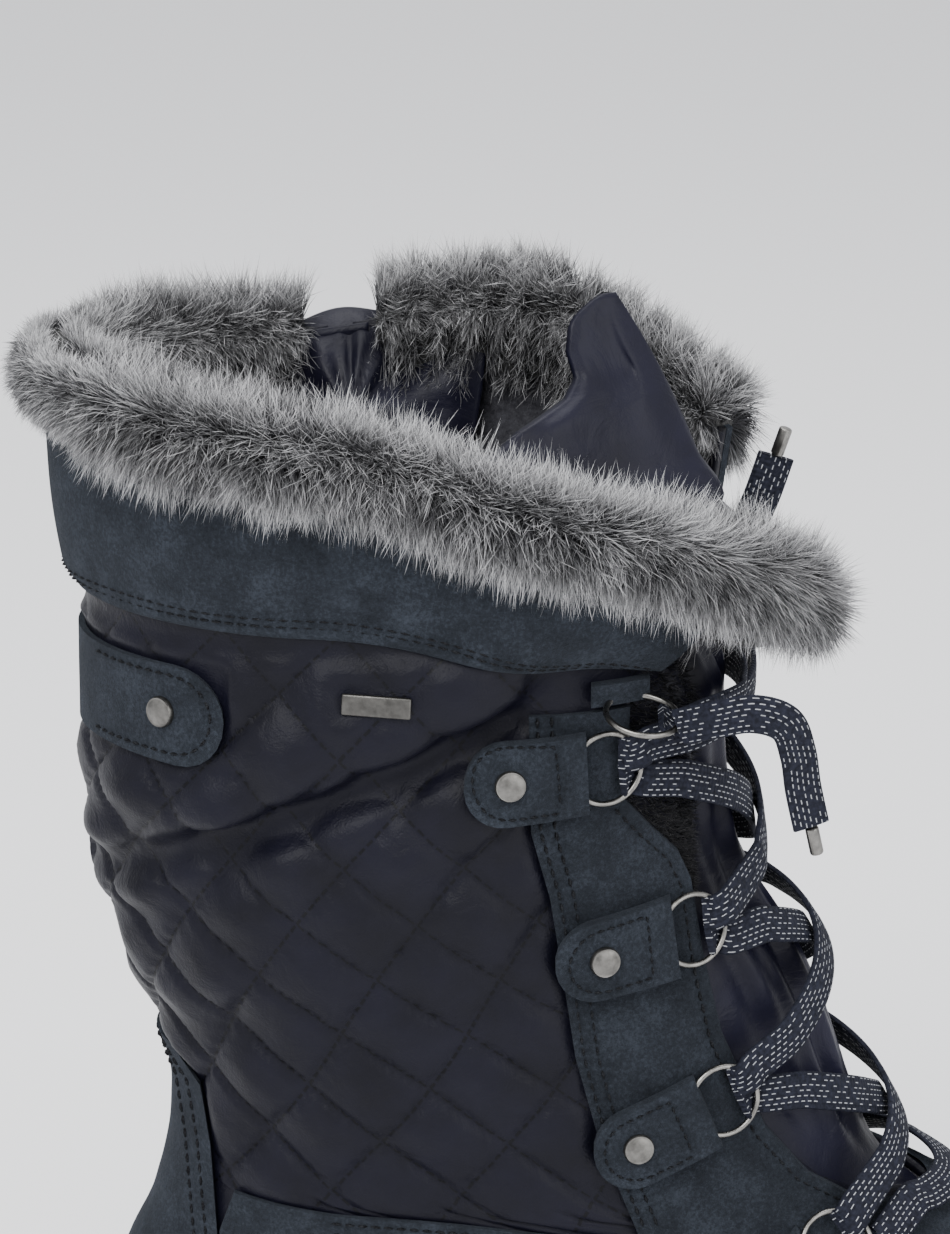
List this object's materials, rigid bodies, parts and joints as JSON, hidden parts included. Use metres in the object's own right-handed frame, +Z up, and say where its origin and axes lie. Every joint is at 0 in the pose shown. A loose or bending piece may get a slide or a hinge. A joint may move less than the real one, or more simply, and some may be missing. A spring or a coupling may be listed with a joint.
{
  "type": "apres ski boot",
  "caption": "Navy quilted lace-up winter boot for the right foot, with a suede cuff, grey fur collar, metal rings and an inner zip.",
  "frame": {"origin": "centre of the heel's flat tread", "axes": "+X to the toe, +Z up, +Y to the inner side of the right foot"},
  "size_m": [0.2866, 0.1259, 0.2977],
  "materials": {
    "navy_suede": "napped suede",
    "navy_quilt": "quilted nylon",
    "navy_satin": "smooth nylon",
    "navy_lace": "flat woven with light flecks",
    "grey_fur": "long pile",
    "fleece_lining": "fleece",
    "black_rubber": "matte moulded",
    "brushed_nickel": "brushed nickel"
  },
  "bodies": {
    "boot": {"aglet_inner": "brushed_nickel", "aglet_outer": "brushed_nickel", "back_strap": "navy_suede", "badge_plate": "brushed_nickel", "cuff_inner": "navy_suede", "cuff_outer": "navy_suede", "d_ring_a_inner": "brushed_nickel", "d_ring_a_outer": "brushed_nickel", "d_ring_b_inner": "brushed_nickel", "d_ring_b_outer": "brushed_nickel", "d_ring_c_inner": "brushed_nickel", "d_ring_c_outer": "brushed_nickel", "d_ring_d_inner": "brushed_nickel", "d_ring_d_outer": "brushed_nickel", "d_ring_e_inner": "brushed_nickel", "d_ring_e_outer": "brushed_nickel", "eyestay_inner": "navy_suede", "eyestay_outer": "navy_suede", "fur_inner": "grey_fur", "fur_outer": "grey_fur", "heel_counter": "navy_suede", "insole": "fleece_lining", "lace_bar": "navy_lace", "lace_crossing_a": "navy_lace", "lace_crossing_b": "navy_lace", "lace_crossing_c": "navy_lace", "lace_crossing_d": "navy_lace", "lace_end_inner": "navy_lace", "lace_end_outer": "navy_lace", "outsole": "black_rubber", "quarter_inner": "navy_suede", "quarter_outer": "navy_suede", "rivet_b_inner": "brushed_nickel", "rivet_b_outer": "brushed_nickel", "rivet_c_inner": "brushed_nickel", "rivet_c_outer": "brushed_nickel", "rivet_d_inner": "brushed_nickel", "rivet_d_outer": "brushed_nickel", "rivet_e_inner": "brushed_nickel", "rivet_e_outer": "brushed_nickel", "strap_rivet_inner": "brushed_nickel", "strap_rivet_outer": "brushed_nickel", "tab_a_inner": "navy_suede", "tab_a_outer": "navy_suede", "tab_b_inner": "navy_suede", "tab_b_outer": "navy_suede", "tab_c_inner": "navy_suede", "tab_c_outer": "navy_suede", "tab_d_inner": "navy_suede", "tab_d_outer": "navy_suede", "tab_e_inner": "navy_suede", "tab_e_outer": "navy_suede", "tongue": "navy_satin", "upper": "navy_quilt", "vamp": "navy_suede", "zip_slider": "brushed_nickel", "zip_tape": "navy_satin"},
    "zip_pull": {"zip_pull_tab": "brushed_nickel"}
  },
  "joints": [
    {"name": "zip_pull_swing", "type": "hinge", "parent": "boot", "child": "zip_pull", "pos_m": [0.012, 0.04891, 0.22599], "axis": [1, 0, 0], "range_deg": [0, 110]}
  ]
}
